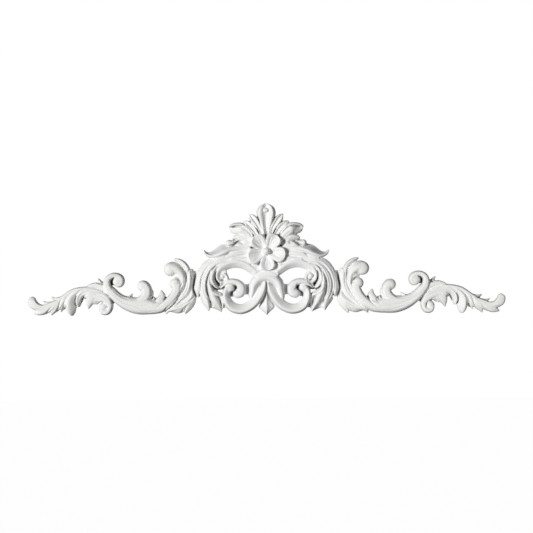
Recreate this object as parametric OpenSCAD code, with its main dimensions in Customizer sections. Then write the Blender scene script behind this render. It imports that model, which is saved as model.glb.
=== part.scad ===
// Scrolled acanthus overdoor ornament, moulded in one piece with a flat back.
// X runs along the ornament, Z is up, and the relief stands out towards -Y.

/* [Overall] */
// Length from tip to tip
length = 1200; // [900:10:1500]
// Height from the drop to the crest
height = 281; // [220:1:340]
// How far the flower's button stands out from the wall
relief = 42; // [30:1:55]

/* [Flower] */
// Number of petals
petals = 5; // [4:1:7]
// Diameter across the open petals
flower_d = 98; // [80:1:115]
// Diameter of the button in the middle of the flower
button_d = 21; // [14:1:26]

/* [Scrolls] */
// Diameter of the eye in the middle of each wing scroll
scroll_eye_d = 29; // [22:1:33]
// Diameter of the eye in the small scroll beside each upper opening
ear_eye_d = 14; // [11:1:17]
// Diameter of the eye in the scroll of each end leaf
end_eye_d = 23; // [16:1:25]

/* [Webs] */
// Thickness of the recessed webs that join the leaves
web_t = 6; // [4:0.5:9]

/* [Hidden] */

// The leaves are drawn on a face of this length, height and relief, and stretch with the sizes above
drawn = [1200, 281, 42];
kx = length / drawn[0];
kz = height / drawn[1];
kw = min(kx, kz);
kd = relief / drawn[2];
// How deep each blade starts behind the back, before the back is trimmed flat
behind = 1;
// Least half width of a tip, and the share of a bend's radius that a blade may reach inwards
least_w = 0.3;
inner_reach = 0.85;
// Where along a closed blade its hollow starts to fill, and over how much of it
fill_from = 0.78;
fill_over = 0.2;
// Sides of an eye, and its profile as shares of its radius and height
eye_sides = 12;
EYE = [[1, 0.66], [0.72, 0.93], [0, 1]];

// Height shares across a blade, from its left rim to its right rim, looking along it
ROUND = [[-1, 0.5], [-0.62, 0.94], [0.62, 0.94], [1, 0.5]];
COVE = [[-1, 0.7], [-0.78, 1], [0, 0.82], [0.78, 1], [1, 0.7]];
LEFT = [[-1, 0.6], [-0.55, 1], [1, 0.6]];
RIGHT = [[-1, 0.6], [0.55, 1], [1, 0.6]];
RIB = [[-1, 0.62], [0, 1], [1, 0.62]];
FLAT = [[-1, 1], [1, 1]];

// A row of a blade, or its first or last row beyond the ends
function row_at(rows, i) = rows[max(0, min(len(rows) - 1, i))];

// Direction of a blade at a row, as a unit vector of x and z
function heading(rows, i) =
    let (d = row_at(rows, i + 1) - row_at(rows, i - 1))
        [d[0], d[1]] / norm([d[0], d[1]]);

// How sharply a blade turns to its left at a row, as one over the radius
function bend(rows, i) =
    i == 0 || i == len(rows) - 1 ? 0 :
    let (a = rows[i] - rows[i - 1], b = rows[i + 1] - rows[i],
         turn = atan2(a[0] * b[1] - a[1] * b[0], a[0] * b[0] + a[1] * b[1]))
        2 * turn * PI / 180 / (norm([a[0], a[1]]) + norm([b[0], b[1]]));

// How far a blade reaches sideways, held short of the centre of its own bend
function reach(rows, i, side) =
    let (w = max(rows[i][2], least_w), inward = -side * bend(rows, i))
        inward > 0 ? min(w, inner_reach / inward) : w;

// Height share of a profile point; a closed tip fills its hollow near the end
function share(profile, j, u, closed) =
    let (inside = j > 0 && j < len(profile) - 1, rise = max(0, min(1, (u - fill_from) / fill_over)))
        closed && inside ? profile[j][1] + (1 - profile[j][1]) * rise : profile[j][1];

// One blade, band or lobe: rows of [x, z, half width, height] swept under a height profile
module blade(profile, rows, closed = false) {
    n = len(profile);
    last = len(rows) - 1;
    top = [
        for (i = [0 : last])
            let (r = rows[i], d = heading(rows, i))
                for (j = [0 : n - 1])
                    let (p = profile[j][0], out = p * reach(rows, i, sign(p))) [
                        kx * r[0] + kw * out * d[1],
                        -kd * r[3] * share(profile, j, i / last, closed),
                        kz * r[1] - kw * out * d[0]
                    ]
    ];
    foot = [for (p = top) [p[0], behind, p[2]]];
    m = len(top);
    cells = [for (i = [0 : last - 1]) for (j = [0 : n - 2]) i * n + j];
    face = [for (a = cells) each [[a, a + n, a + 1], [a + 1, a + n, a + n + 1]]];
    back = [for (f = face) [f[0] + m, f[2] + m, f[1] + m]];
    left = [
        for (i = [0 : last - 1])
            let (a = i * n, c = a + n)
                each [[a, a + m, c], [c, a + m, c + m]]
    ];
    right = [
        for (i = [0 : last - 1])
            let (b = i * n + n - 1, d = b + n)
                each [[b, d, b + m], [d, d + m, b + m]]
    ];
    ends = [
        for (j = [0 : n - 2])
            let (a = j, c = last * n + j)
                each [[a, a + 1, a + 1 + m], [a, a + 1 + m, a + m],
                      [c + 1, c, c + m], [c + 1, c + m, c + 1 + m]]
    ];
    polyhedron(concat(top, foot), concat(face, back, left, right, ends), convexity = 6);
}

// A rounded eye or button of diameter d and height h, at a place given as [x, z]
module bead(place, d, h) {
    r = kw * d / 2;
    top = kd * h;
    outline = concat([[0, -behind], [r, -behind]], [for (e = EYE) [r * e[0], top * e[1]]]);
    translate([kx * place[0], 0, kz * place[1]]) rotate([90, 0, 0])
        rotate_extrude($fn = eye_sides) polygon(outline);
}

// ---- Crest: the fan of leaves behind the flower ----
module crest() {
    blade(COVE, [[0, 48, 8, 20], [0, 114, 24, 27.5], [0, 132, 18.5, 25.5],
                 [0, 140.3, 3, 18]], closed = true);
    bead([1.5, 123], 12, 28);
    blade(COVE, [[11, 58, 4, 20], [18, 80, 7, 24], [30, 99, 10, 24.5], [36, 107, 8, 22.5],
                 [42, 114.3, 1, 15]]);
    blade(COVE, [[20, 54, 6, 20], [43, 87, 9, 22.5], [56.5, 96, 1.5, 14]]);
    blade(ROUND, [[34, 57, 3, 21], [49, 80, 5, 26], [58, 86.5, 5, 26.5], [79, 88, 4, 23.5],
                  [94, 81.5, 1.5, 15]]);
    blade(ROUND, [[33, 44, 11, 19], [57, 71, 14, 25], [66, 75.5, 13, 24.5], [84, 76, 9, 9.5],
                  [91, 79, 3, 7]]);
    blade(LEFT, [[44, 40, 9, 18], [57, 50, 10, 20.5], [69, 54.5, 8.5, 19.5],
                 [79, 54.5, 5.5, 16], [84.5, 51.5, 1.5, 11]]);
    blade(ROUND, [[54, 32, 8, 19], [83, 41.5, 7.5, 22.5], [100, 41, 4, 20]]);
    bead([93.5, 41.5], 16, 24);
}

// ---- Horn leaves: the long pointed leaves that sweep out under the crest ----
module horn() {
    blade(RIGHT, [[48, 29, 9, 21], [64, 32, 11, 24], [98, 27, 13, 30], [110, 23, 14.5, 31],
                  [134, 12.5, 9.5, 27], [152, 16.5, 4, 16], [157, 24.5, 1, 10]]);
    blade(ROUND, [[50, 14, 11, 22], [86, 12, 12, 26], [124, 2, 10, 24.5]]);
}

// ---- Brow: the broad band over each upper opening, which curls in at its end ----
module brow() {
    blade(LEFT, [[22, -38, 7, 26], [52, -15.5, 10.5, 28.5], [75, -9.5, 11, 28.5],
                 [98, -14, 10.5, 28.5], [117, -28, 8.5, 27.5], [121.5, -37.5, 7, 27],
                 [120.5, -48, 6.5, 26], [114, -56, 5.5, 25.5], [105, -56, 5.5, 25],
                 [101, -49, 6, 25.5], [103, -41, 6.5, 26], [109, -38, 6, 26]]);
    blade(FLAT, [[104, -38, 6, 20], [110, -50, 6, 20]]);
    bead([110.5, -41.5], ear_eye_d, 27);
    blade(FLAT, [[-6, -34, 15, 25], [18, -34, 13, 25.5], [28, -30, 9, 25]]);
    blade(ROUND, [[22, -12, 10, 24], [52, 0, 12, 25.5], [90, -1, 8, 26]]);
}

// ---- Ear leaves: the acanthus that falls beside each lower scroll ----
module ear() {
    blade(RIGHT, [[100, 2, 8, 23], [134, -4, 9.5, 25], [149, -12, 9.5, 24.5], [162, -28, 9, 24],
                  [173, -68, 8.5, 22.5], [171, -95, 1.5, 14]]);
    blade(RIGHT, [[92, -6, 7, 25], [114, -5, 8, 27], [134, -12, 9, 28], [149, -27, 9.5, 29],
                  [157, -46, 9.5, 29], [158.5, -84, 9.5, 27], [149.5, -112, 7.5, 21],
                  [145.5, -129, 1.2, 12]]);
    blade(RIGHT, [[100, -12, 6, 26], [120, -14, 8, 28], [135, -25, 9, 29.5],
                  [144, -43, 10, 30.5], [146.5, -62, 11, 30.5], [137, -96, 15, 28],
                  [130, -109, 14.5, 25], [113.5, -132, 1, 11]]);
    blade(LEFT, [[146, -58, 6, 26], [139, -73, 7, 28.5], [128, -83, 7, 28],
                 [112, -90, 1.5, 19]]);
    blade(LEFT, [[108, -13, 4, 27], [120, -18, 5, 28.5], [133.5, -40, 6, 29.5],
                 [129, -64, 6, 27], [121, -71, 3.5, 22]]);
    blade(RIGHT, [[120, -84, 6, 22], [113, -98, 5, 20], [112, -125, 1.5, 12]]);
}

// ---- Arch: the omega-shaped band in the middle, whose legs end inside the lower scrolls ----
module arch() {
    blade(ROUND, [[-6, -45.5, 12, 28], [18, -49, 14, 29], [34.5, -67, 14, 29],
                  [40, -90, 9.5, 24], [39.5, -105, 1.5, 14]]);
}

// ---- Lower scrolls: the C-scrolls whose two curls hook into each other ----
module lower_scroll() {
    blade(RIGHT, [[5, -49, 4, 12], [7.5, -65, 7.5, 27], [12.5, -76, 12, 29],
                  [29, -104.5, 12.5, 31], [43, -117, 12.5, 31.5], [62, -124.5, 12.5, 31.5],
                  [80, -122, 12.5, 31.5], [92, -114, 12, 31], [101.5, -90, 9.5, 30],
                  [92, -72.5, 12, 28.5]]);
    bead([92.5, -71.5], 25, 28.5);
    blade(LEFT, [[117, -72, 3, 20], [111, -64, 6, 25], [99, -57, 7.5, 28], [84, -55.5, 8, 29.5],
                 [71.5, -61, 9, 30], [65.5, -71, 10.5, 30], [67, -82, 12.5, 29.5],
                 [72, -85, 12, 29]]);
    bead([71.5, -84.5], 26, 29);
}

// ---- Drop: the pointed leaf that hangs between the lower scrolls ----
module drop() {
    blade(RIB, [[0, -52, 3, 18], [0, -80, 3.5, 18], [0, -119, 20, 20], [0, -140, 1, 11]]);
}

// ---- Side leaves: the inner leaf of each wing ----
module side_leaf() {
    blade(LEFT, [[238, -118, 6, 20], [202, -73, 8.5, 23], [196, -50, 8.5, 23],
                 [198, -30, 8.5, 22], [207, -13, 8, 20.5], [219, -3, 6, 18],
                 [232, 2.5, 1.5, 13]]);
    blade(ROUND, [[240, -110, 6, 23], [221, -86, 8, 25], [209, -62, 9, 26.5],
                  [210.5, -42, 10.5, 28], [221, -27, 14.5, 29.5], [233, -21.5, 17, 29.5],
                  [241, -23, 17, 29]]);
    bead([240.5, -23.5], 34.5, 29);
    blade(ROUND, [[212, -58, 4, 22], [215.5, -46, 6, 24.5], [225, -41, 6.5, 24],
                  [233, -43, 4, 20]]);
    blade(LEFT, [[187.5, -22, 2, 14], [190, -50, 7.5, 21], [199, -84, 8, 22],
                 [211, -97, 7.5, 21], [229.5, -106, 1.2, 15]]);
    blade(RIGHT, [[184, -66, 4, 15], [189, -86, 8, 19], [201, -104, 10.5, 21.5],
                  [218, -115, 11.5, 22], [236, -119.5, 10.5, 21.5], [247, -125.5, 6, 18],
                  [254.5, -136, 1.5, 11]]);
    blade(LEFT, [[181, -88, 5, 14], [186, -104, 8, 17.5], [194.5, -118, 8, 17.5],
                 [205, -136, 1.5, 10]]);
    blade(ROUND, [[200, -106, 8, 19], [211, -119, 10.5, 20], [222, -124.5, 10, 19],
                  [243, -124, 6, 15]]);
}

// ---- Wing scrolls: the S-scroll of each wing with the leaflets inside it ----
module wing_scroll() {
    blade(ROUND, [[226, -62, 13, 28], [225, -74, 12, 28.5], [233.5, -93, 12.5, 29.5],
                  [247, -108, 13.5, 30.5], [265, -117, 15, 31], [321, -114.5, 21.5, 31],
                  [355, -106, 17, 31], [379, -90, 13.5, 31], [397, -69, 10.5, 30],
                  [397, -46, 8.5, 29.5], [377, -38.5, 7.5, 28.5], [367, -43.5, 8, 28.5],
                  [364, -53, 8, 28], [368, -61, 7, 27], [376, -63, 4.5, 25]]);
    bead([372, -52.5], scroll_eye_d, 28.5);
    bead([229.5, -60.5], 28, 28);
    blade(ROUND, [[304, -124, 6, 24], [284, -115, 9, 26], [270, -104, 10, 26],
                  [263, -92, 9.5, 23], [266, -75.5, 1.2, 12]]);
    blade(ROUND, [[306, -116, 6, 25], [292, -107, 6, 24], [283.5, -98, 4, 19],
                  [283.5, -91.5, 1.2, 13]]);
    blade(ROUND, [[352, -108, 8, 28], [330, -107, 11, 29], [313, -100, 12.5, 29.5],
                  [302, -88, 13, 29], [300.5, -75, 13, 28.5], [311, -63, 12, 28]]);
    bead([310.5, -64.5], 28, 28);
    blade(ROUND, [[306, -104, 6, 23], [296, -96, 7, 23], [286, -76, 1.5, 15]]);
    blade(RIGHT, [[380, -98, 5, 25], [360, -98, 7.5, 26], [346, -95, 6, 22],
                  [337, -84, 1.2, 14]]);
}

// ---- End leaves: the acanthus spray at each end ----
module end_leaf() {
    blade(ROUND, [[462, -82, 8, 24], [428, -84, 15, 27], [409, -92.5, 13.5, 28],
                  [396.5, -105, 10, 28], [393.5, -118, 8, 28], [400, -129, 7.5, 28],
                  [411, -128.5, 7.5, 27], [415, -118, 6.5, 26]]);
    bead([409.5, -117.5], end_eye_d, 27);
    blade(ROUND, [[412, -80, 7, 24], [436, -75, 9, 25], [485, -81.5, 11, 25.5],
                  [521, -104, 9.5, 23], [560, -118, 8, 22.5], [574, -116.5, 9.5, 22.5],
                  [585, -109.5, 11.5, 22], [588, -101, 11.5, 21], [584, -91.5, 4, 15]]);
    blade(ROUND, [[399, -82, 7, 22], [410, -71, 9, 23], [424, -64.5, 9, 23], [438, -65, 8, 22],
                  [454, -71, 5, 20]]);
    blade(RIB, [[407, -72, 5, 20], [415, -57, 5, 17], [424, -45.5, 1.5, 10]]);
    blade(LEFT, [[470, -73, 6, 24], [508, -92, 6, 19.5], [524, -96, 4.5, 16], [535, -95, 3, 13],
                 [540, -90.5, 1.2, 9]]);
    blade(LEFT, [[506, -98, 6, 21], [545, -106.5, 4, 15], [561, -101, 1, 9]]);
    blade(FLAT, [[408, -94, 8, 24], [440, -92, 10, 24]]);
    blade(ROUND, [[432, -84, 11, 26.5], [440, -94, 12.5, 26], [444, -105, 10, 23],
                  [447.5, -121.5, 1.2, 11]]);
    blade(ROUND, [[414, -88, 9, 26], [422, -96, 9, 25], [429, -110.5, 3, 17]]);
    blade(ROUND, [[424, -88, 9, 26], [431, -96, 8.5, 25], [436.5, -110, 3, 17]]);
    blade(LEFT, [[436, -78, 8, 25.5], [455, -81.5, 9.5, 26], [467, -90, 10.5, 25.5],
                 [472, -101, 9.5, 23], [473, -116.5, 4, 15]]);
    blade(LEFT, [[462, -76, 9, 26], [481, -86, 10.5, 26.5], [490.5, -101, 12.5, 26.5],
                 [491, -117, 13, 25], [490, -130, 9.5, 21], [489.5, -138.5, 3, 14]]);
    blade(ROUND, [[494, -92, 7, 24], [506, -105, 7.5, 22.5], [517, -129, 1.2, 10]]);
    blade(ROUND, [[508, -98, 8, 23], [531, -120, 9.5, 20.5], [541, -137.5, 1, 10]]);
    blade(ROUND, [[524, -106, 9, 23], [561, -126, 9.5, 20.5], [584.5, -133, 1.5, 12]]);
}

// ---- Webs: the recessed sheets between the leaves, and thicker ones under the crest and brow ----
// Rows of a web are [x, z, half width]
module web(rows) {
    blade(FLAT, [for (r = rows) [r[0], r[1], r[2], web_t / kd]]);
}

module webs() {
    web([[44, -75, 13], [62, -75, 13]]);
    web([[96, -60, 9], [118, -64, 12], [140, -60, 10]]);
    web([[118, -30, 10], [126, -48, 12], [124, -70, 10]]);
    web([[108, -86, 8], [107, -104, 8], [106, -121, 4]]);
    web([[128, -110, 10], [146, -108, 12], [160, -92, 10]]);
    web([[181, -28, 8], [184, -50, 8], [184, -76, 8], [177, -92, 7]]);
    web([[196, -22, 7], [210, -40, 9], [220, -60, 9]]);
    web([[384, -46, 8], [387, -62, 8]]);
    web([[254, -92, 8], [262, -106, 14], [284, -106, 12], [296, -92, 6]]);
    web([[407, -54, 6], [408, -66, 8], [400, -82, 9], [389, -98, 9], [383, -107, 4]]);
    web([[446, -92, 8], [462, -84, 10], [480, -96, 10], [482, -110, 7]]);
    web([[500, -104, 8], [508, -112, 8], [512, -122, 4]]);
    web([[0, 34, 42], [0, -20, 36]]);
    web([[24, -52, 12], [25, -74, 12], [32, -92, 8]]);
    web([[7, -99, 5], [13, -112, 5]]);
    web([[88, -80, 8], [89, -93, 5]]);
    blade(FLAT, [[74, -62, 6, 12], [78, -76, 6, 12]]);
    web([[106, -90, 5], [104, -112, 5]]);
    blade(FLAT, [[34, 44, 14, 12], [50, 30, 12, 18], [48, 12, 12, 18]]);
    blade(FLAT, [[16, -20, 10, 22], [36, -13, 11, 24]]);
    web([[36, 8, 20], [84, 6, 16], [130, 0, 12]]);
    blade(FLAT, [[84, 0, 7, 23], [101, -2, 6, 23.5]]);
    blade(FLAT, [[116, 6, 6, 23], [132, 3, 5, 22]]);
}

// ---- Flower: cupped petals round a button, the part that stands out furthest ----
flower_at = [0, 20];
flower_turn = -3.5;
petal_l = flower_d / 2;

module petal(angle, lift) {
    u = [cos(angle), sin(angle)];
    shape = [[0.1, 0.12, 26], [0.3, 0.27, 29], [0.58, 0.42, 34.5], [0.78, 0.42, 37.5],
             [0.94, 0.24, 37], [1, 0.06, 34]];
    blade(COVE, [for (s = shape) [flower_at[0] + u[0] * s[0] * petal_l,
                                  flower_at[1] + u[1] * s[0] * petal_l,
                                  s[1] * petal_l, s[2] - lift]], closed = true);
}

module flower() {
    for (i = [0 : petals - 1])
        petal(90 + flower_turn + 360 / petals * (i + 0.5), 0.6 * (i % 2));
    bead(flower_at, button_d, drawn[2]);
}

// A left half beside the right half
module both_sides() {
    children();
    mirror([1, 0, 0]) children();
}

// Everything behind the wall face, to trim the back flat with
module wall() {
    translate([-length, 0, -height]) cube([2 * length, 2 * behind, 2 * height]);
}

// The whole ornament, stretched the last hair to its exact length and height, with a flat back
module overdoor_ornament() {
    color([0.93, 0.93, 0.92]) resize([length, 0, height])
        difference() {
            union() {
                both_sides() {
                    crest();
                    horn();
                    brow();
                    ear();
                    arch();
                    lower_scroll();
                    drop();
                    side_leaf();
                    wing_scroll();
                    end_leaf();
                    webs();
                }
                flower();
            }
            wall();
        }
}

overdoor_ornament();
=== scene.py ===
# %% [markdown]
# # A scrolled overdoor ornament
# This is the kind of moulding that is glued over a door: one casting with a flat back, on which
# acanthus leaves, scrolls and a flower stand out as relief. It has no moving part. The lesson
# draws every leaf as a *sweep*: a path with a width and a height at each of its points. Geometry
# Nodes turn the paths into solids, a voxel remesh melts them into one casting, and a second tree
# cuts the flutes. All places below are millimetres on the ornament's face, X to the right and Z
# up, and the relief stands out towards -Y.

# %% Frame
import math

import bmesh
import bpy
import mathutils
import numpy as np
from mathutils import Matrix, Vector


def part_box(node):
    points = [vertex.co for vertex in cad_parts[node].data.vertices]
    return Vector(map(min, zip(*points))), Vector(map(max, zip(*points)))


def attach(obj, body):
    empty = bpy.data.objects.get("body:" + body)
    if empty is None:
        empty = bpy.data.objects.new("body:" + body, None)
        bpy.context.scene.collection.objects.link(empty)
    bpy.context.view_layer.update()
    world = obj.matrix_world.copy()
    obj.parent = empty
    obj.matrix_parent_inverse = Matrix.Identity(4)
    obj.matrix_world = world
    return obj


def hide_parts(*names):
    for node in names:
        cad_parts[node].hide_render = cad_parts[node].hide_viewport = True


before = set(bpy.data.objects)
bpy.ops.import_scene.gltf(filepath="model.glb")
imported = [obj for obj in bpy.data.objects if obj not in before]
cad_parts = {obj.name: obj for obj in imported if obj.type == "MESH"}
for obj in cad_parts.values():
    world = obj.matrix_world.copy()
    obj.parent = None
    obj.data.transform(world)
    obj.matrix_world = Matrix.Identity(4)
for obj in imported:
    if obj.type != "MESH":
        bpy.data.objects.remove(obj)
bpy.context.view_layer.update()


NODE = "overdoor_ornament"
DRAWN_FACE = (1200.0, 42.0, 281.0)   # length, relief and height that the tables below are drawn for
low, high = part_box(NODE)
SCALE = [(high[i] - low[i]) / DRAWN_FACE[i] for i in range(3)]
HALF_SCALE = min(SCALE[0], SCALE[2])
FOOT = 0.003                         # how far a sweep starts behind the back, before the back is cut flat
print("ornament", [round(high[i] - low[i], 4) for i in range(3)], "m, scales", [round(s, 5) for s in SCALE])


# %% [markdown]
# ## Small helpers for node trees
# Each tree below is a row of nodes with a few links. `Tree` keeps the building short: it makes
# named inputs with `interface.new_socket`, adds nodes and links them, and `run` puts the tree on
# a mesh as a modifier, sets its inputs by their identifiers, and bakes the result to plain mesh.

# %% Node tree helper
class Tree:
    """A geometry node tree with named inputs, built one node at a time."""

    def __init__(self, name, **inputs):
        self.group = bpy.data.node_groups.new(name, "GeometryNodeTree")
        self.sockets = {}
        self.add_input("Geometry", "NodeSocketGeometry")
        for title, kind in inputs.items():
            self.add_input(title.replace("_", " "), "NodeSocket" + kind)
        self.group.interface.new_socket("Geometry", in_out="OUTPUT", socket_type="NodeSocketGeometry")
        self.source = self.group.nodes.new("NodeGroupInput")
        self.sink = self.group.nodes.new("NodeGroupOutput")

    def add_input(self, title, socket_type):
        socket = self.group.interface.new_socket(title, in_out="INPUT", socket_type=socket_type)
        self.sockets[title] = socket.identifier

    def given(self, title):
        return self.source.outputs[title]

    def add(self, kind, links=None, **settings):
        """A node with its settings; links gives each input a value or another node's output."""
        node = self.group.nodes.new(kind)
        for key, value in settings.items():
            setattr(node, key, value)
        for key, value in (links or {}).items():
            self.feed(node.inputs[key], value)
        return node

    def feed(self, socket, value):
        if isinstance(value, bpy.types.Node):
            value = value.outputs[0]
        if isinstance(value, bpy.types.NodeSocket):
            self.group.links.new(value, socket)
        else:
            socket.default_value = value

    def math(self, operation, a, b=0.0, c=0.0):
        return self.add("ShaderNodeMath", {0: a, 1: b, 2: c}, operation=operation)

    def mix(self, factor, a, b):
        return self.add("ShaderNodeMix", {0: factor, 2: a, 3: b}, data_type="FLOAT")

    def vector(self, operation, a, b=(0, 0, 0)):
        return self.add("ShaderNodeVectorMath", {0: a, 1: b}, operation=operation)

    def named(self, name, data_type="FLOAT"):
        node = self.add("GeometryNodeInputNamedAttribute", {"Name": name}, data_type=data_type)
        return node.outputs["Attribute"]

    def store(self, geometry, name, value, data_type="FLOAT"):
        links = {"Geometry": geometry, "Name": name, "Value": value}
        return self.add("GeometryNodeStoreNamedAttribute", links, data_type=data_type, domain="POINT")

    def float_curve(self, value, points):
        """A smooth curve through the given points, read at value."""
        node = self.add("ShaderNodeFloatCurve", {"Value": value})
        curve = node.mapping.curves[0]
        curve.points[0].location, curve.points[1].location = points[0], points[-1]
        for x, y in points[1:-1]:
            curve.points.new(x, y)
        for point in curve.points:
            point.handle_type = "AUTO_CLAMPED"
        node.mapping.update()
        return node

    def join(self, *parts):
        node = self.add("GeometryNodeJoinGeometry")
        for part in parts:
            self.feed(node.inputs[0], part)
        return node

    def finish(self, geometry):
        self.feed(self.sink.inputs["Geometry"], geometry)
        return self


def run(tree, source, name, **values):
    """The tree's result on a mesh object, as a new object with plain mesh; the source is removed."""
    modifier = source.modifiers.new(tree.group.name, "NODES")
    modifier.node_group = tree.group
    for title, value in values.items():
        modifier[tree.sockets[title.replace("_", " ")]] = value
    return baked(source, name)


def baked(source, name):
    """The evaluated mesh of an object with its modifiers, as a new object; the source is removed."""
    graph = bpy.context.evaluated_depsgraph_get()
    mesh = bpy.data.meshes.new_from_object(source.evaluated_get(graph), depsgraph=graph)
    bpy.data.objects.remove(source)
    result = bpy.data.objects.new(name, mesh)
    bpy.context.scene.collection.objects.link(result)
    return result


def mesh_object(name, points, edges=(), faces=()):
    mesh = bpy.data.meshes.new(name)
    mesh.from_pydata(points, edges, faces)
    made = bpy.data.objects.new(name, mesh)
    bpy.context.scene.collection.objects.link(made)
    return made


# %% [markdown]
# ## The sweep
# A carver's leaf, scroll or band is one stroke of the gouge: it follows a path, grows wider and
# narrower, rises and falls, and keeps one kind of cross-section. A row of a stroke is
# `[x, z, half width, height]`, and the section is a curve of height shares from the left rim to
# the right rim, looking along the path. The tree smooths the path, lays a ribbon along it, lifts
# the ribbon to its section and closes it with walls down to the back. A mesh per leaf modelled by
# hand would be slower to change, and a plain bevelled curve can't hold a lopsided section.

# %% Sections
SECTIONS = {
    # rounded band with broad flanks
    "round": [(0, 0.3), (0.06, 0.52), (0.15, 0.73), (0.3, 0.92), (0.5, 1), (0.7, 0.92), (0.85, 0.73),
              (0.94, 0.52), (1, 0.3)],
    # raised rims round a hollow
    "cove": [(0, 0.25), (0.05, 0.62), (0.11, 0.88), (0.18, 1), (0.27, 0.96), (0.4, 0.83), (0.5, 0.78),
             (0.6, 0.83), (0.73, 0.96), (0.82, 1), (0.89, 0.88), (0.95, 0.62), (1, 0.25)],
    # wide hollow between two full rims
    "trough": [(0, 0.25), (0.04, 0.6), (0.09, 0.86), (0.16, 1), (0.25, 0.96), (0.4, 0.7), (0.5, 0.6),
               (0.6, 0.7), (0.75, 0.96), (0.84, 1), (0.91, 0.86), (0.96, 0.6), (1, 0.25)],
    # petal: a dish with a narrow rim
    "petal": [(0, 0.35), (0.025, 0.72), (0.06, 0.94), (0.11, 1), (0.2, 0.96), (0.34, 0.88), (0.5, 0.84),
              (0.66, 0.88), (0.8, 0.96), (0.89, 1), (0.94, 0.94), (0.975, 0.72), (1, 0.35)],
    # crest towards the left rim, falling broadly to the right
    "left": [(0, 0.35), (0.06, 0.64), (0.15, 0.9), (0.25, 1), (0.43, 0.96), (0.65, 0.83), (0.85, 0.67),
             (0.95, 0.58), (1, 0.5)],
    # crest towards the right rim
    "right": [(0, 0.5), (0.05, 0.58), (0.15, 0.67), (0.35, 0.83), (0.57, 0.96), (0.75, 1), (0.85, 0.9),
              (0.94, 0.64), (1, 0.35)],
    # crest towards the right rim with a deep fall to the left
    "deep_right": [(0, 0.08), (0.05, 0.13), (0.15, 0.25), (0.3, 0.5), (0.45, 0.79), (0.57, 0.96), (0.66, 1),
                   (0.8, 0.95), (0.93, 0.7), (1, 0.3)],
    # nearly level, with a low rim on the left
    "ledge": [(0, 0.45), (0.05, 0.74), (0.1, 0.92), (0.18, 1), (0.4, 0.98), (0.7, 0.94), (0.9, 0.84),
              (0.96, 0.66), (1, 0.4)],
    # nearly level, with short flanks
    "body": [(0, 0.3), (0.04, 0.56), (0.1, 0.8), (0.2, 0.95), (0.35, 1), (0.65, 1), (0.8, 0.95), (0.9, 0.8),
             (0.96, 0.56), (1, 0.3)],
    # sharp ridge along the middle
    "rib": [(0, 0.25), (0.06, 0.5), (0.25, 0.66), (0.42, 0.88), (0.5, 1), (0.58, 0.88), (0.75, 0.66),
            (0.94, 0.5), (1, 0.25)],
    # plain sheet
    "flat": [(0, 0.85), (0.1, 1), (0.9, 1), (1, 0.85)],
}
STEP_ALONG = 0.0013        # metres between two ribs of a sweep
POINTS_ACROSS = 25
INNER_REACH = 0.9          # share of the bend's radius that the inner half may reach
LEAST_HALF_WIDTH = 0.4     # millimetres, at a pointed tip
FILL_START = 0.78          # where a closed tip starts to fill, as a share of the stroke
FILL_LENGTH = 0.2
HOLLOW_SHARE = 0.7         # how much of the width a filling tip takes

strokes = {section: [] for section in SECTIONS}
eyes = []
flutes = []
own_flutes = []            # cuts that have no mirrored twin


def leaf(section, rows, closed=False):
    """Notes one stroke of the right half; a closed one fills its hollow towards the tip."""
    strokes[section].append((np.array(rows, float), closed))


def eye(x, z, diameter, height):
    """Notes one round eye or button of the right half."""
    eyes.append((x, z, diameter / 2, height))


def flute(*rows):
    """Notes one cut of the right half: rows of [x, z, half width, depth]."""
    flutes.append(np.array(rows, float))


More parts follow.
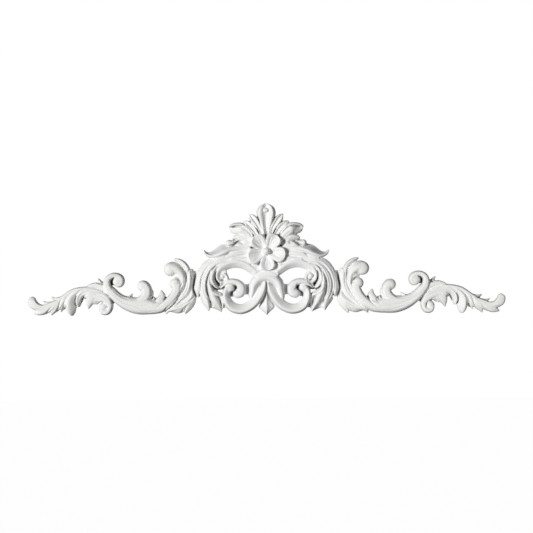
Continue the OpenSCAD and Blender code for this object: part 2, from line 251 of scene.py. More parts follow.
def sweep_tree(section):
    """The tree that turns paths with reach, height and fill attributes into closed solids."""
    t = Tree("sweep_" + section, Step="Float", Points_across="Int", Foot="Float")
    path = t.add("GeometryNodeMeshToCurve", {"Mesh": t.given("Geometry")})
    smooth = t.add("GeometryNodeCurveSplineType", {"Curve": path}, spline_type="CATMULL_ROM")
    ribs = t.add("GeometryNodeResampleCurve", {"Curve": smooth, "Length": t.given("Step")}, mode="LENGTH")
    rail = t.store(ribs, "rail", t.add("GeometryNodeInputPosition"), "FLOAT_VECTOR")
    rail = t.store(rail, "heading", t.add("GeometryNodeInputTangent"), "FLOAT_VECTOR")
    line = t.add("GeometryNodeCurvePrimitiveLine", {"Start": (0, 0, 0), "End": (0, 0, 1e-4)})
    count = t.given("Points across")
    line = t.add("GeometryNodeResampleCurve", {"Curve": line, "Count": count}, mode="COUNT")
    line = t.store(line, "across", t.add("GeometryNodeSplineParameter").outputs["Factor"])
    ribbon = t.add("GeometryNodeCurveToMesh", {"Curve": rail, "Profile Curve": line})

    # sideways: the heading turned a quarter in the face, times the reach on that side
    side_share = t.math("MULTIPLY_ADD", t.named("across"), 2.0, -1.0)
    reach = t.mix(t.math("GREATER_THAN", side_share, 0.0), t.named("reach_left"), t.named("reach_right"))
    heading = t.add("ShaderNodeSeparateXYZ", {0: t.named("heading", "FLOAT_VECTOR")})
    sideways = t.add("ShaderNodeCombineXYZ", {"X": heading.outputs["Z"], "Y": 0.0,
                                              "Z": t.math("MULTIPLY", heading.outputs["X"], -1.0)})
    stretch = t.math("MULTIPLY", side_share, reach)
    sideways = t.add("ShaderNodeVectorMath", {0: t.vector("NORMALIZE", sideways), "Scale": stretch},
                     operation="SCALE")
    # upwards: the section's share of the height, and a closed tip fills its hollow
    share = t.float_curve(t.named("across"), SECTIONS[section])
    inside = t.math("LESS_THAN", t.math("ABSOLUTE", side_share), HOLLOW_SHARE)
    share = t.mix(t.math("MULTIPLY", inside, t.named("fill")), share, 1.0)
    up = t.math("MULTIPLY", t.math("MULTIPLY", share, t.named("height")), -1.0)
    lifted = t.add("ShaderNodeCombineXYZ", {"X": 0.0, "Y": up, "Z": 0.0})
    place = t.vector("ADD", t.vector("ADD", t.named("rail", "FLOAT_VECTOR"), sideways), lifted)
    top = t.add("GeometryNodeSetPosition", {"Geometry": ribbon, "Position": place})

    # walls and foot: the faces pushed back to the foot
    depth = t.add("ShaderNodeSeparateXYZ", {0: t.add("GeometryNodeInputPosition")}).outputs["Y"]
    to_foot = t.math("SUBTRACT", t.given("Foot"), depth)
    push = t.add("ShaderNodeCombineXYZ", {"X": 0.0, "Y": to_foot, "Z": 0.0})
    walls = t.add("GeometryNodeExtrudeMesh", {"Mesh": top, "Offset": push, "Individual": False},
                  mode="FACES")
    return t.finish(t.join(top, walls))


def bend(points):
    """How sharply a path turns to its left at each row, as one over the radius."""
    out = np.zeros(len(points))
    for i in range(1, len(points) - 1):
        a, b = points[i] - points[i - 1], points[i + 1] - points[i]
        out[i] = 2 * math.atan2(a[0] * b[1] - a[1] * b[0], a @ b) / (np.linalg.norm(a) + np.linalg.norm(b))
    return out


def inner_reach(width, k):
    """The half width, held short of the bend's centre where the path turns that way."""
    return np.where(k > 0, np.minimum(width, INNER_REACH / np.maximum(k, 1e-9)), width)


def paths_object(name, paths, columns):
    """One mesh that holds every path as a line of edges, with the columns as attributes in metres."""
    points = [(x * SCALE[0], 0.0, z * SCALE[2]) for rows in paths for x, z in rows[:, :2]]
    ends = np.cumsum([len(rows) for rows in paths])
    edges = [(i, i + 1) for i in range(len(points) - 1) if i + 1 not in ends]
    made = mesh_object(name, points, edges)
    for title, values in columns.items():
        attribute = made.data.attributes.new(title, "FLOAT", "POINT")
        attribute.data.foreach_set("value", np.array(values, np.float32))
    return made


def sweep(section):
    """Every stroke with this section, as one object of closed solids."""
    paths = [rows for rows, closed in strokes[section]]
    width = np.concatenate([np.maximum(rows[:, 2], LEAST_HALF_WIDTH) for rows in paths])
    turn = np.concatenate([bend(rows[:, :2]) for rows in paths])
    fill = np.concatenate([closed * np.clip((np.linspace(0, 1, len(rows)) - FILL_START) / FILL_LENGTH, 0, 1)
                           for rows, closed in strokes[section]])
    columns = {"reach_left": inner_reach(width, turn) * HALF_SCALE,
               "reach_right": inner_reach(width, -turn) * HALF_SCALE,
               "height": np.concatenate([rows[:, 3] for rows in paths]) * SCALE[1],
               "fill": fill}
    source = paths_object("paths_" + section, paths, columns)
    made = run(sweep_tree(section), source, "sweeps_" + section,
               Step=STEP_ALONG, Points_across=POINTS_ACROSS, Foot=FOOT)
    print(section, len(paths), "strokes,", len(made.data.polygons), "faces")
    return made


# %% [markdown]
# ## The crest
# The crest is the fan of leaves that stands behind the flower and ends the ornament at the top.
# On a cast moulding it is the part a sculptor models last, leaf over leaf. It could be one disc
# with grooves, but then every leaf would end on the same circle, so each leaf is its own stroke:
# a hollow middle leaf with a bead, two slim leaves beside it, a curled leaf with a rolled rim,
# and two short ones below.

# %% Crest
leaf("trough", [[0, 48, 8, 20], [0, 66, 10, 23], [0, 85, 15, 25], [0, 102, 20.5, 26.5], [0, 114, 24, 27.5],
                [0, 124, 23, 27], [0, 132, 18.5, 25.5], [0, 137.5, 10.5, 22.5], [0, 140.3, 3, 18]], closed=True)
eye(1.5, 123, 12, 28)
leaf("cove", [[11, 58, 4, 20], [13.5, 68, 5, 22], [18, 80, 7, 24], [24, 90, 9, 25], [30, 99, 10, 24.5],
              [36, 107, 8, 22.5], [40, 112, 4, 19], [42, 114.3, 1, 15]])
leaf("cove", [[20, 54, 6, 20], [26, 65, 7.5, 22], [34, 77, 9, 23.5], [43, 87, 9, 22.5], [50, 92, 6.5, 20],
              [56.5, 96, 1.5, 14]])
leaf("round", [[34, 57, 3, 21], [41, 70, 4.5, 24], [49, 80, 5, 26], [58, 86.5, 5, 26.5], [68, 88.5, 4.5, 26],
               [79, 88, 4, 23.5], [87, 85.5, 3.5, 20.5], [94, 81.5, 1.5, 15]])
leaf("round", [[33, 44, 11, 19], [45, 60, 14, 23], [57, 71, 14, 25], [66, 75.5, 13, 24.5], [75, 75, 12, 16.5],
               [84, 76, 9, 9.5], [91, 79, 3, 7]])
leaf("left", [[44, 40, 9, 18], [57, 50, 10, 20.5], [69, 54.5, 8.5, 19.5], [79, 54.5, 5.5, 16],
              [84.5, 51.5, 1.5, 11]])
leaf("round", [[54, 32, 8, 19], [70, 38, 8, 21.5], [83, 41.5, 7.5, 22.5], [94, 42, 7, 23], [100, 41, 4, 20]])
eye(93.5, 41.5, 16, 24)
flute([66, 72, 1, 0.5], [56, 67, 2.5, 2.5], [48, 60, 2.5, 2.5], [41, 51, 1.5, 1])
flute([40, 42, 1.5, 2], [46, 47.5, 2.5, 3], [56, 50.5, 1.5, 1])
flute([60, 84, 1, 1], [68, 83, 2.5, 4], [80, 82.5, 2.5, 4], [90, 83, 1.5, 2])
flute([61, 47.5, 2, 2], [69, 45.5, 3, 7], [76, 42, 4.5, 16], [80.5, 38.5, 4, 15], [84, 34.5, 2.5, 5])
flute([78, 46.5, 1.5, 3], [84, 49, 2, 5], [91, 49.5, 1.5, 4])
flute([51, 83, 2, 3], [55, 88, 2.5, 6], [57, 90, 2, 3])
flute([36, 58, 1.5, 1], [38, 62, 2, 2.5], [41, 68, 1.5, 1])
flute([36, 89, 1.5, 2], [40.5, 95, 2.5, 5], [42, 98, 2, 3])


# %% [markdown]
# ## The horn leaves
# A long pointed leaf sweeps out on each side under the crest and turns up at its tip. Its upper
# side falls away steeply, which a lopsided section gives in one stroke; two mirrored halves would
# put a ridge there.

# %% Horn leaves
leaf("deep_right", [[34, 24, 9, 18], [48, 29, 9, 21], [64, 32, 11, 24], [82, 31, 12, 27], [98, 27, 13, 30],
                    [110, 23, 14.5, 31], [122, 16.5, 13, 30], [134, 12.5, 9.5, 27], [144.5, 12.5, 6.5, 22],
                    [152, 16.5, 4, 16], [157, 24.5, 1, 10]])
leaf("round", [[34, 8, 12, 19], [50, 13, 12, 22], [68, 15, 12, 25], [86, 12, 12, 26], [104, 6, 11, 25.5],
               [124, 2, 10, 24.5]])
flute([48, 23, 2, 1], [60, 27, 3.5, 1.8], [75, 28.5, 3.5, 1.8], [88, 26, 3, 1.4], [98, 22, 1.5, 0.6])
flute([84, 22.5, 1, 0.5], [91, 20, 2.5, 3], [98, 14.5, 2.5, 4], [103, 9, 2.5, 4], [105.5, 5.5, 1.5, 2])
flute([50, 14, 1, 0.5], [58, 10, 3.5, 2], [68, 7.5, 4, 2.4], [76, 5, 3.5, 2.4], [84, 1.5, 2, 1])
flute([126, 9.5, 1.5, 0.5], [138, 12.5, 2.5, 3], [147, 17, 2.5, 3], [154.5, 23.5, 1, 2])


# %% [markdown]
# ## The brow
# A broad band rises from the middle over each upper opening and curls in at its end, as a
# handrail does at its volute. One long stroke holds the whole curl. It could be an extruded
# outline, but the band's crest has to wander from its middle to its upper rim.

# %% Brow
leaf("left", [[22, -38, 7, 26], [32, -30, 9, 27], [42, -22, 10, 28], [52, -15.5, 10.5, 28.5],
              [63, -11.5, 11, 28.5], [75, -9.5, 11, 28.5], [87, -10.5, 11, 28.5], [98, -14, 10.5, 28.5],
              [108.5, -20, 10, 28], [117, -28, 8.5, 27.5], [121.5, -37.5, 7, 27], [120.5, -48, 6.5, 26],
              [114, -56, 5.5, 25.5], [105, -56, 5.5, 25], [101, -49, 6, 25.5], [103, -41, 6.5, 26],
              [109, -38, 6, 26]])
leaf("flat", [[107, -29, 6, 20], [105, -38, 6, 20], [110, -50, 6, 20]])
eye(110.5, -41.5, 14, 27)
flute([116.5, -36, 1, 1], [118.5, -40, 2, 3.5], [117, -45, 1, 1])
leaf("flat", [[-6, -34, 15, 25], [6, -34, 15, 25.5], [18, -34, 13, 25.5], [28, -30, 9, 25]])
leaf("round", [[22, -12, 10, 24], [36, -6, 12, 25], [52, 0, 12, 25.5], [70, 2, 10, 26], [90, -1, 8, 26]])
flute([7, -28, 1.5, 1], [13, -30, 3, 2.5], [21, -33.5, 3, 3], [29, -38.5, 3, 3], [35, -43, 2, 2])
flute([29, -13, 1.5, 1], [24, -20, 2.5, 2], [18, -30, 1.5, 1])


# %% [markdown]
# ## The ear leaves
# Acanthus leaves fall beside each lower scroll like long ears. They lie over each other, so three
# strokes share one start and fan out, the inner ones standing higher. The veins are cut
# afterwards as flutes.

# %% Ear leaves
leaf("right", [[100, 2, 8, 23], [118, 1, 9, 25], [134, -4, 9.5, 25], [149, -12, 9.5, 24.5], [162, -28, 9, 24],
               [169.5, -48, 9, 23.5], [173, -68, 8.5, 22.5], [172.5, -83, 5.5, 20], [171, -95, 1.5, 14]])
leaf("right", [[92, -6, 7, 25], [114, -5, 8, 27], [134, -12, 9, 28], [149, -27, 9.5, 29], [157, -46, 9.5, 29],
               [160, -66, 9.5, 28.5], [158.5, -84, 9.5, 27], [153.5, -99, 9.5, 24.5], [149.5, -112, 7.5, 21],
               [147, -121, 4.5, 17], [145.5, -129, 1.2, 12]])
leaf("deep_right", [[100, -12, 6, 26], [120, -14, 8, 28], [135, -25, 9, 29.5], [144, -43, 10, 30.5],
                    [146.5, -62, 11, 30.5], [143, -80, 13, 30], [137, -96, 15, 28], [130, -109, 14.5, 25],
                    [122, -119, 9, 20], [115.5, -128, 3, 14], [113.5, -132, 1, 11]])
leaf("left", [[146, -58, 6, 26], [139, -73, 7, 28.5], [128, -83, 7, 28], [118, -88, 5, 25],
              [112, -90, 1.5, 19]])
leaf("left", [[108, -13, 4, 27], [120, -18, 5, 28.5], [129.5, -28, 5.5, 29.5], [133.5, -40, 6, 29.5],
              [134, -53, 6, 29], [129, -64, 6, 27], [121, -71, 3.5, 22]])
leaf("right", [[120, -84, 6, 22], [113, -98, 5, 20], [111, -112, 3.5, 16], [112, -125, 1.5, 12]])
flute([130, -5, 1.5, 1], [142, -15, 2.5, 2], [151, -24, 3, 3], [157.5, -34, 3.2, 3.5], [162, -46, 3.4, 4],
      [164.5, -58, 3.4, 4], [164.5, -70, 3.4, 4], [162.5, -82, 3.2, 4], [158, -93, 2.5, 3.5],
      [154, -101, 1.5, 1.5])
flute([128, -6, 1, 0.5], [145, -24, 2, 2], [155, -45, 2.5, 3], [158, -65, 2.5, 3], [154, -88, 2.5, 3],
      [142, -104, 2, 2], [128, -116, 1, 0.5])
flute([143, -4, 1.5, 1], [154, -16, 2.5, 1.4], [163, -28, 3, 1.6], [168, -41, 3, 1.6], [170.5, -55, 3, 1.6],
      [171, -70, 3, 2.2], [169, -84, 3, 4], [168.5, -94, 2.5, 7])
flute([112, -9, 1, 0.5], [122, -12, 2, 2], [130, -19, 2.5, 3], [136.5, -28, 2.5, 3.5], [140, -40, 2.5, 3.5],
      [141.5, -52, 2.5, 3.5], [139, -63, 2.5, 3], [132, -71, 2, 2.5], [122, -76, 1, 1])
flute([147, -71, 1, 1], [141, -80, 2, 3], [133, -87, 2, 2.5], [124, -90, 1, 1])
flute([113, -11, 1.5, 1], [121, -17, 2.5, 2], [127, -25, 2.5, 3], [129, -36, 2.5, 3.5], [128.5, -46, 2.5, 3.5],
      [124, -55, 2.5, 3.5], [115, -60.5, 2, 2.5])


# %% [markdown]
# ## The arch
# The arch is the rounded band in the middle that bends down like a hairpin on both sides. It is
# one stroke for each half, and the halves meet on the middle line, so the crown shows no joint.

# %% Arch
leaf("round", [[-6, -45.5, 12, 28], [6, -46, 12.5, 28.5], [18, -49, 14, 29], [27.5, -57, 13.5, 29.5],
               [33, -67, 11.5, 29], [35, -78, 9.8, 27], [38, -90, 8, 24], [39.5, -98, 5, 19],
               [39.5, -105, 1.5, 14]])


# %% [markdown]
# ## The lower scrolls
# Each lower scroll is a C whose two curls hook into each other. A spiral curve would give even
# spacing, but carved scrolls swell and thin by eye, so the path is set point by point and a round
# eye ends each curl. The deep cuts between the curls are flutes too, as a gouge would undercut
# them.

# %% Lower scrolls
leaf("right", [[5, -49, 4, 12], [6, -57, 5.5, 24], [7.5, -65, 7.5, 27], [12.5, -76, 12, 29],
               [19.5, -90, 12.5, 30], [29, -104.5, 12.5, 31], [43, -117, 12.5, 31.5], [62, -124.5, 12.5, 31.5],
               [80, -122, 12.5, 31.5], [92, -114, 12, 31], [98.5, -102, 10.5, 30.5], [101.5, -90, 9.5, 30],
               [99, -79, 11, 29], [92, -72.5, 12, 28.5]])
eye(92.5, -71.5, 25, 28.5)
leaf("body", [[117, -72, 3, 20], [111, -64, 6, 25], [99, -57, 7.5, 28], [84, -55.5, 8, 29.5],
              [70.5, -60.5, 9.5, 30],
              [63.5, -70.5, 11.5, 30], [65.5, -81.5, 13, 29.5], [72, -85, 12, 29]])
eye(71.5, -84.5, 26, 29)
flute([104, -56.5, 2, 6], [109, -60, 2.5, 12], [113, -64.5, 2.5, 12], [116.5, -71, 2.5, 10], [114, -78, 2, 3])
flute([78, -61, 2, 3], [76, -68, 3, 8], [78, -75, 3, 9], [83, -79, 2.5, 9])
flute([86, -80, 3, 20], [89.5, -85, 4, 26], [88.5, -92, 4, 26], [85, -97, 3, 16])


# %% [markdown]
# ## The drop
# A small pointed leaf hangs between the lower scrolls and ends the ornament at the bottom. A
# sharp ridge down its middle catches the light, so its section is a rib.

# %% Drop
leaf("rib", [[0, -52, 3, 18], [0, -80, 3.5, 18], [0, -98, 8, 20], [0, -112, 16, 21], [0, -119, 20, 20],
             [0, -127, 13, 18], [0, -134, 5.5, 15], [0, -140, 1, 11]])


# %% [markdown]
# ## The side leaves
# The inner leaf of each wing stands beside the middle part and leans over it. Its outer rim and
# its inner curl are two strokes with a groove between them, and the lobes at its foot are three
# more.

# %% Side leaves
leaf("left", [[238, -118, 6, 20], [217, -95, 7.5, 22], [202, -73, 8.5, 23], [196, -50, 8.5, 23],
              [198, -30, 8.5, 22], [207, -13, 8, 20.5], [219, -3, 6, 18], [232, 2.5, 1.5, 13]])
leaf("round", [[240, -110, 6, 23], [221, -86, 8, 25], [209, -62, 9, 26.5], [210.5, -42, 10.5, 28],
               [221, -27, 14.5, 29.5], [233, -21.5, 17, 29.5], [241, -23, 17, 29]])
eye(240.5, -23.5, 34.5, 29)
leaf("round", [[212, -58, 4, 22], [215.5, -46, 6, 24.5], [225, -41, 6.5, 24], [233, -43, 4, 20]])
leaf("left", [[187.5, -22, 2, 14], [188, -34, 6.5, 19], [190, -50, 7.5, 21], [193.5, -68, 7.5, 22],
              [199, -84, 8, 22], [211, -97, 7.5, 21], [222, -103, 4.5, 19], [229.5, -106, 1.2, 15]])
leaf("right", [[184, -66, 4, 15], [189, -86, 8, 19], [201, -104, 10.5, 21.5], [218, -115, 11.5, 22],
               [236, -119.5, 10.5, 21.5], [247, -125.5, 6, 18], [254.5, -136, 1.5, 11]])
leaf("left", [[181, -88, 5, 14], [186, -104, 8, 17.5], [194.5, -118, 8, 17.5], [201, -128, 5, 14],
              [205, -136, 1.5, 10]])
leaf("round", [[200, -106, 8, 19], [211, -119, 10.5, 20], [222, -124.5, 10, 19], [234, -124, 8, 17],
               [243, -124, 6, 15]])
flute([177, -26, 2.5, 24], [178.5, -38, 3, 26], [181, -52, 3, 26], [184, -70, 3, 26], [182, -82, 3, 26],
      [178, -91, 3, 24], [172, -98, 2.5, 18])
flute([194, -24, 2, 6], [196, -36, 2.5, 2.5], [195.5, -52, 3, 2.5], [196.5, -66, 3, 3], [202, -80, 3, 3],
      [211, -92, 2.5, 2.5], [223, -105, 2, 1.5])
flute([207, -46, 2, 1.5], [207, -60, 2.5, 3], [210, -72, 3, 3.5], [217, -85, 3, 3.5], [228, -98, 2.5, 3],
      [241, -111, 2, 3], [251, -121, 2.5, 5], [258, -128, 2.5, 6])
flute([182, -92, 2, 2], [193, -103, 3, 4], [207, -112, 3, 3.5], [221, -119, 2, 1.5])
flute([208, -123, 2, 3], [212, -128, 2.5, 5], [214, -133, 2, 4])
flute([227, -106.5, 1.5, 2], [230, -105, 2, 5])
flute([214, -53, 2, 4], [212, -60, 2.5, 7], [214, -65, 2, 3])
flute([206, -19, 1.5, 1], [202, -32, 2.5, 3], [202, -48, 2.5, 3.5], [204.5, -66, 2.5, 3], [211, -82, 2, 2])


# %% [markdown]
# ## The wing scrolls
# Each wing is carried by an S-scroll that starts under the side leaf, swings along the bottom and
# winds up at its outer end. Leaflets sprout from its hollow side. The body is nearly level across
# with short flanks, as the broad back of a real scroll is, and shallow flutes keep it from
# looking blown up.

# %% Wing scrolls
leaf("body", [[226, -62, 13, 28], [225, -74, 12, 28.5], [233.5, -93, 12.5, 29.5], [247, -108, 13.5, 30.5],
              [265, -117, 15, 31], [282, -118, 17.5, 31], [300, -116, 20.5, 31], [321, -114.5, 21.5, 31],
              [339, -111.5, 19.5, 31], [355, -106, 17, 31], [368, -99, 14.5, 31], [379, -90, 13.5, 31],
              [388.5, -79.5, 12.5, 30.5], [397, -69, 10.5, 30], [400, -57, 9.5, 29.5], [397, -46, 8.5, 29.5],
              [388, -39.5, 8, 29], [377, -38.5, 7.5, 28.5], [367, -43.5, 8, 28.5], [364, -53, 8, 28],
              [368, -61, 7, 27], [376, -63, 4.5, 25]])
eye(372, -52.5, 29, 28.5)
eye(229.5, -60.5, 28, 28)
leaf("body", [[304, -124, 6, 24], [284, -115, 9, 26], [270, -104, 10, 26], [263, -92, 9.5, 23],
              [263.5, -83, 6, 18], [266, -75.5, 1.2, 12]])
leaf("round", [[306, -116, 6, 25], [292, -107, 6, 24], [283.5, -98, 4, 19], [283.5, -91.5, 1.2, 13]])
leaf("body", [[352, -108, 8, 28], [330, -107, 11, 29], [313, -100, 12.5, 29.5], [302, -88, 13, 29],
              [300.5, -75, 13, 28.5], [306, -65, 13, 28], [311, -63, 12, 28]])
eye(310.5, -64.5, 28, 28)
leaf("round", [[306, -104, 6, 23], [296, -96, 7, 23], [289, -86, 5, 20], [286, -76, 1.5, 15]])
leaf("right", [[380, -98, 5, 25], [360, -98, 7.5, 26], [346, -95, 6, 22], [337, -84, 1.2, 14]])
flute([380, -43, 2, 4], [386.5, -48, 3, 12], [388.5, -55, 3, 14], [386, -62, 2.5, 10], [381, -67, 2, 4])
flute([254, -96, 2.5, 8], [258, -104, 2.5, 5], [266, -112, 2.5, 3.5], [277, -119, 2, 1.5])
flute([276, -101, 2, 8], [279, -107, 2, 3], [285, -113, 1.5, 1])
flute([262, -125, 2, 1], [285, -128.5, 2.5, 1.5], [310, -128, 2.5, 1.5], [335, -121, 2.5, 1.5],
      [358, -110, 2, 0.8])
flute([292, -110, 2, 1], [312, -116, 3, 2], [335, -113, 3, 2], [358, -104, 3, 2], [378, -91, 2, 1])
flute([330, -99, 1.5, 1], [350, -97, 3, 2.5], [370, -87, 3, 2.5], [385, -73, 3, 2], [391, -60, 2, 1])


# %% [markdown]
# ## The end leaves
# The spray at each end is a small volute with a long leaf that throws lobes downwards and tips
# upwards. Every lobe is a short stroke that starts inside the leaf, so the melting gives it a
# soft root.

# %% End leaves
leaf("body", [[462, -82, 8, 24], [448, -83, 13, 26], [428, -84, 15, 27], [409, -92.5, 13.5, 28],
              [396.5, -105, 10, 28], [393.5, -118, 8, 28], [400, -129, 7.5, 28], [411, -128.5, 7.5, 27],
              [415, -118, 6.5, 26]])
eye(409.5, -117.5, 23, 27)
leaf("ledge", [[412, -80, 7, 24], [436, -75, 9, 25], [462, -75.5, 10, 26], [485, -81.5, 11, 25.5],
               [503, -93, 11, 24], [521, -104, 9.5, 23], [541, -112, 8.5, 22.5], [560, -118, 8, 22.5],
               [574, -116.5, 9.5, 22.5], [585, -109.5, 11.5, 22], [588, -101, 11.5, 21],
               [586.5, -95.5, 8.5, 19], [584, -91.5, 4, 15]])
leaf("ledge", [[399, -82, 7, 22], [410, -71, 9, 23], [424, -64.5, 9, 23], [438, -65, 8, 22],
               [454, -71, 5, 20]])
leaf("rib", [[407, -72, 5, 20], [415, -57, 5, 17], [424, -45.5, 1.5, 10]])
leaf("left", [[470, -73, 6, 24], [490, -83, 6.5, 22.5], [508, -92, 6, 19.5], [524, -96, 4.5, 16],
              [535, -95, 3, 13], [540, -90.5, 1.2, 9]])
leaf("left", [[506, -98, 6, 21], [526, -103.5, 5.5, 19], [545, -106.5, 4, 15], [555, -105, 2.5, 12],
              [561, -101, 1, 9]])
leaf("flat", [[408, -94, 8, 24], [424, -94, 10, 24.5], [440, -92, 10, 24]])
leaf("body", [[432, -84, 11, 26.5], [440, -94, 12.5, 26], [444, -105, 10, 23], [446.5, -115, 5, 17],
              [447.5, -121.5, 1.2, 11]])
leaf("body", [[414, -88, 9, 26], [422, -96, 9, 25], [427, -104, 6.5, 22], [429, -110.5, 3, 17]])
leaf("body", [[424, -88, 9, 26], [431, -96, 8.5, 25], [435, -104, 6.5, 22], [436.5, -110, 3, 17]])
leaf("left", [[436, -78, 8, 25.5], [455, -81.5, 9.5, 26], [467, -90, 10.5, 25.5], [472, -101, 9.5, 23],
              [473, -110, 7, 20], [473, -116.5, 4, 15]])
leaf("left", [[462, -76, 9, 26], [481, -86, 10.5, 26.5], [490.5, -101, 12.5, 26.5], [491, -117, 13, 25],
              [490, -130, 9.5, 21], [489.5, -138.5, 3, 14]])
leaf("body", [[494, -92, 7, 24], [506, -105, 7.5, 22.5], [512.5, -117, 5.5, 17], [517, -129, 1.2, 10]])
leaf("body", [[508, -98, 8, 23], [521, -109, 10, 23], [531, -120, 9.5, 20.5], [538, -130, 5, 16],
              [541, -137.5, 1, 10]])
leaf("body", [[524, -106, 9, 23], [544, -117, 10.5, 22.5], [561, -126, 9.5, 20.5], [574, -130, 7, 17.5],
              [584.5, -133, 1.5, 12]])
flute([402, -80, 1.5, 2], [412, -75, 2.5, 4], [426, -70.5, 2.5, 4], [440, -69, 2, 3], [450, -69, 1.5, 1])
flute([456, -71, 1.5, 1], [467, -76, 2, 2.5], [474, -84, 2.2, 3.5], [479, -95, 2.4, 4.5], [479.5, -107, 2.4, 6],
      [476.5, -114, 2.4, 7])
flute([449, -85, 1.5, 1.5], [456, -88.5, 2.5, 8], [461.5, -95.5, 2.2, 12], [465, -104, 2.2, 12],
      [467, -111, 2, 10])
flute([440, -78, 1, 0.5], [454, -79, 2, 2], [465, -85, 2.5, 2.5], [471, -95, 2.5, 2], [473, -106, 1.5, 1])
flute([480, -78, 1.5, 1], [492, -85, 2.5, 3], [502, -96, 2.5, 3], [507, -108, 2.5, 5], [509, -118, 2.5, 9],
      [514, -126, 2, 6])
flute([511, -92, 1.5, 2], [516, -101, 2.5, 4], [519, -112, 2.5, 7], [524, -122, 2.5, 8], [529, -129, 2, 5])
flute([536, -112, 1, 1], [542, -120, 2.5, 4], [549, -128, 2.5, 6], [556, -133, 2, 4])
flute([512, -94, 1.5, 1], [524, -98.5, 2, 3.5], [538, -99.5, 2, 4])
flute([540, -110, 1.5, 1], [556, -113, 3, 1.5], [570, -114, 3, 1.5], [580, -108, 2, 0.5])
flute([405, -84, 2, 1], [420, -79, 3, 2], [438, -77, 3, 2], [452, -78, 2, 1])
flute([400, -97, 1.5, 1], [412, -89, 3, 2], [426, -86, 3, 2], [438, -88, 2, 1])
flute([424, -102, 2, 3], [427, -109, 2, 5])
flute([404, -108.5, 1, 2], [400, -113, 1.6, 4], [399, -119, 1.6, 5], [401, -125, 1.2, 3])
flute([412, -51, 2, 5], [414, -58, 2.5, 7], [423, -57.5, 1.5, 3])
flute([566, -122, 1.5, 0.5], [577, -122, 2.5, 2.5], [589, -121, 2.5, 3])


# %% [markdown]
# ## The webs
# Between the leaves the casting is closed by thin recessed sheets, since the mould has no
# undercut there. They are plain level strokes, a few millimetres high, and a few higher ones fill
# the ground under the crest and the brow.

# %% Webs
WEBS = [
    [[44, -75, 13, 4], [62, -75, 13, 4]],
    [[96, -60, 9, 6], [118, -64, 12, 6], [140, -60, 10, 6]],
    [[118, -30, 10, 6], [126, -48, 12, 6], [124, -70, 10, 6]],
    [[108, -86, 8, 6], [107, -104, 8, 6], [106, -121, 4, 6]],
    [[128, -110, 10, 8], [146, -108, 12, 8], [160, -92, 10, 8]],
    [[181, -28, 8, 5], [184, -50, 8, 5], [184, -76, 8, 5], [177, -92, 7, 5]],
    [[196, -22, 7, 6], [210, -40, 9, 6], [220, -60, 9, 6]],
    [[384, -46, 8, 6], [387, -62, 8, 6]],
    [[254, -92, 8, 6], [262, -106, 14, 6], [284, -106, 12, 6], [296, -92, 6, 6]],
    [[407, -54, 6, 6], [408, -66, 8, 6], [400, -82, 9, 6], [389, -98, 9, 6], [383, -107, 4, 6]],
    [[446, -92, 8, 6], [462, -84, 10, 6], [480, -96, 10, 6], [482, -110, 7, 6]],
    [[500, -104, 8, 6], [508, -112, 8, 6], [512, -122, 4, 6]],
    [[0, 34, 42, 6], [0, -20, 36, 6]],
    [[24, -52, 12, 8], [25, -74, 12, 8], [32, -92, 8, 8]],
    [[7, -99, 5, 8], [13, -112, 5, 8]],
    [[88, -80, 8, 8], [89, -93, 5, 8]],
    [[74, -62, 6, 12], [78, -76, 6, 12]],
    [[106, -90, 5, 8], [104, -112, 5, 8]],
    [[34, 44, 14, 14], [48, 34, 12, 19], [50, 20, 12, 20], [48, 2, 12, 20]],
    [[16, -20, 10, 22], [36, -13, 11, 24]],
    [[36, 8, 20, 6], [84, 6, 16, 6], [130, 0, 12, 6]],
    [[84, 0, 7, 23], [101, -2, 6, 23.5]],
    [[116, 6, 6, 23], [132, 3, 5, 22]],
]
for rows in WEBS:
    leaf("flat", rows)


# %% [markdown]
# ## Eyes and buttons
# The scrolls end in round eyes. They repeat, so one tree sets a small dome on each marked point,
# scaled by the point's radius and height, and realizes the copies.

# %% Eyes
EYE_SQUARENESS = 0.38


def eye_tree():
    t = Tree("eyes")
    ball = t.add("GeometryNodeMeshUVSphere", {"Segments": 40, "Rings": 24, "Radius": 1.0})
    where = t.add("ShaderNodeSeparateXYZ", {0: t.add("GeometryNodeInputPosition")})
    along, across, out = where.outputs["X"], where.outputs["Y"], where.outputs["Z"]
    # a power under one makes the ball stand up as a button with a domed top
    power = t.math("POWER", t.math("ABSOLUTE", out), EYE_SQUARENESS)
    raised = t.math("MULTIPLY", t.math("SIGN", out), power)
    turned = t.add("ShaderNodeCombineXYZ", {"X": along, "Y": t.math("MULTIPLY", raised, -1.0), "Z": across})
    button = t.add("GeometryNodeSetPosition", {"Geometry": ball, "Position": turned})
    radius = t.named("radius")
    size = t.add("ShaderNodeCombineXYZ", {"X": radius, "Y": t.named("height"), "Z": radius})
    copies = t.add("GeometryNodeInstanceOnPoints",
                   {"Points": t.given("Geometry"), "Instance": button, "Scale": size})
    return t.finish(t.add("GeometryNodeRealizeInstances", {"Geometry": copies}))


def eyes_object():
    table = np.array(eyes)
    source = paths_object("eye_points", [table[i:i + 1] for i in range(len(table))],
                          {"radius": table[:, 2] * HALF_SCALE, "height": table[:, 3] * SCALE[1]})
    made = run(eye_tree(), source, "eyes")
    print(len(table), "eyes,", len(made.data.polygons), "faces")
    return made


# %% [markdown]
# ## One casting
# The strokes overlap as clay strips do before a sculptor smooths them. Joining them with booleans
# would leave knife-sharp seams, so they are melted by a voxel remesh instead, which gives one
# closed skin with soft seams, as a mould gives. The left half is a mirrored copy.

# %% Melting
VOXEL = 0.00095


